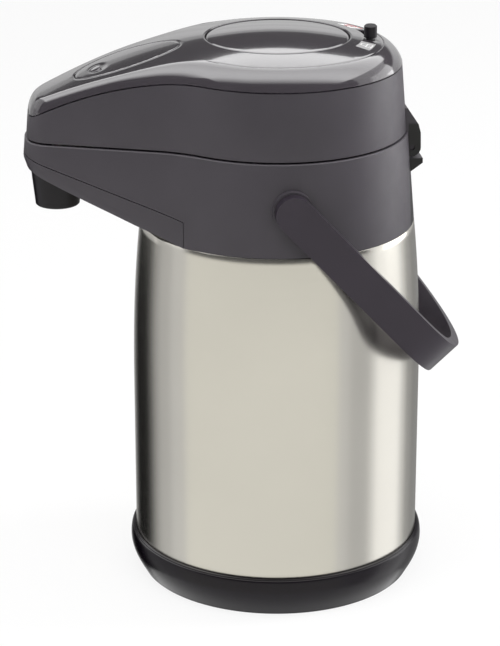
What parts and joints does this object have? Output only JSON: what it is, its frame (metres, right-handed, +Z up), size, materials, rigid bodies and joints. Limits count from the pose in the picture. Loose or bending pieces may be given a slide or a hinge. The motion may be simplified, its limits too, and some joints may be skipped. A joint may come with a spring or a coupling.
{
  "type": "pump vacuum flask",
  "caption": "Steel vacuum flask with a push-button pump lid, a beak spout with a nozzle, a lock slider, a lid release pad and a swinging carrying handle.",
  "frame": {"origin": "centre of the foot ring on the table, on the axis of the steel casing", "axes": "+Z up, spout along -Y, lid hinge towards +Y, handle pivots along X"},
  "size_m": [0.1608, 0.2302, 0.3037],
  "materials": {
    "steel": "brushed",
    "grey_plastic": "fine matte",
    "gloss_plastic": "polished",
    "black_plastic": "satin to polished",
    "inner_plastic": "moulded",
    "pipe_plastic": "moulded, milky",
    "rubber": "soft",
    "bright_steel": "bright"
  },
  "bodies": {
    "flask": {"base_ring": "black_plastic", "base_plate": "inner_plastic", "base_screws": "bright_steel", "outer_casing": "steel", "casing_bottom": "steel", "inner_vessel": "steel", "vessel_neck": "steel", "neck_nut": "inner_plastic", "collar": "grey_plastic", "beak_cover": "grey_plastic", "nozzle": "black_plastic", "spout_pipe": "pipe_plastic", "pipe_seal": "rubber", "mouth_insert": "inner_plastic", "mouth_gasket": "rubber", "dip_tube": "pipe_plastic", "hinge_pin": "bright_steel"},
    "lid": {"lid_shell": "grey_plastic", "top_cover": "gloss_plastic", "lid_base": "grey_plastic", "lid_screws": "bright_steel", "plug_seal": "rubber", "outlet_valve": "rubber", "bellows": "rubber", "return_spring": "bright_steel", "release_pin": "bright_steel", "release_spring": "bright_steel"},
    "button": {"push_button": "gloss_plastic", "plunger": "inner_plastic", "intake_valve": "rubber"},
    "lock": {"lock_ring": "inner_plastic", "lock_knob": "black_plastic"},
    "release": {"release_lever": "gloss_plastic"},
    "handle": {"handle": "grey_plastic", "handle_pins": "bright_steel"}
  },
  "joints": [
    {"name": "lid_hinge", "type": "hinge", "parent": "flask", "child": "lid", "pos_m": [0, 0.0696, 0.239], "axis": [-1, 0, 0], "range_deg": [0, 95]},
    {"name": "button_press", "type": "slide", "parent": "lid", "child": "button", "axis": [0, 0, -1], "range_m": [0, 0.02], "stiffness_N_per_m": 800, "deforming": ["bellows", "return_spring"]},
    {"name": "lock_turn", "type": "hinge", "parent": "lid", "child": "lock", "pos_m": [0, 0, 0.29], "axis": [0, 0, 1], "range_deg": [0, 22]},
    {"name": "release_press", "type": "hinge", "parent": "lid", "child": "release", "pos_m": [0, -0.062, 0.284], "axis": [1, 0, 0], "range_deg": [0, 4.5], "stiffness_Nm_per_rad": 1.5, "deforming": ["release_spring"]},
    {"name": "handle_swing", "type": "hinge", "parent": "flask", "child": "handle", "pos_m": [0, -0.0013, 0.2244], "axis": [1, 0, 0], "range_deg": [0, 185]}
  ]
}
